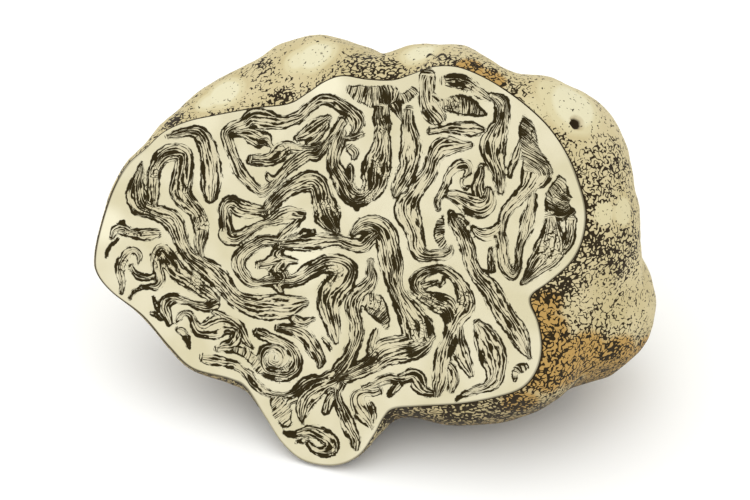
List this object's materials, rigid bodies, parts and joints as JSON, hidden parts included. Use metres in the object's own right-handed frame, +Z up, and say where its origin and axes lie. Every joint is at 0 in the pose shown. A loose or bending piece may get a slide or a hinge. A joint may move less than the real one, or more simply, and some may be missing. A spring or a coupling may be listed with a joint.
{
  "type": "halved white truffle",
  "caption": "Half of a lobed white truffle resting on its rounded back, with its flat cut face and marbled flesh turned up and forward.",
  "frame": {"origin": "middle of the footprint, on the surface that the half rests on", "axes": "+X to the right along the cut face, the longest way; +Y from the cut face to the rounded back; +Z up"},
  "size_m": [0.065, 0.0382, 0.043],
  "materials": {
    "fungus": "matte cream skin and cut flesh, marbled dark brown between pale veins"
  },
  "bodies": {
    "root": {"truffle_half": "fungus"}
  },
  "joints": []
}
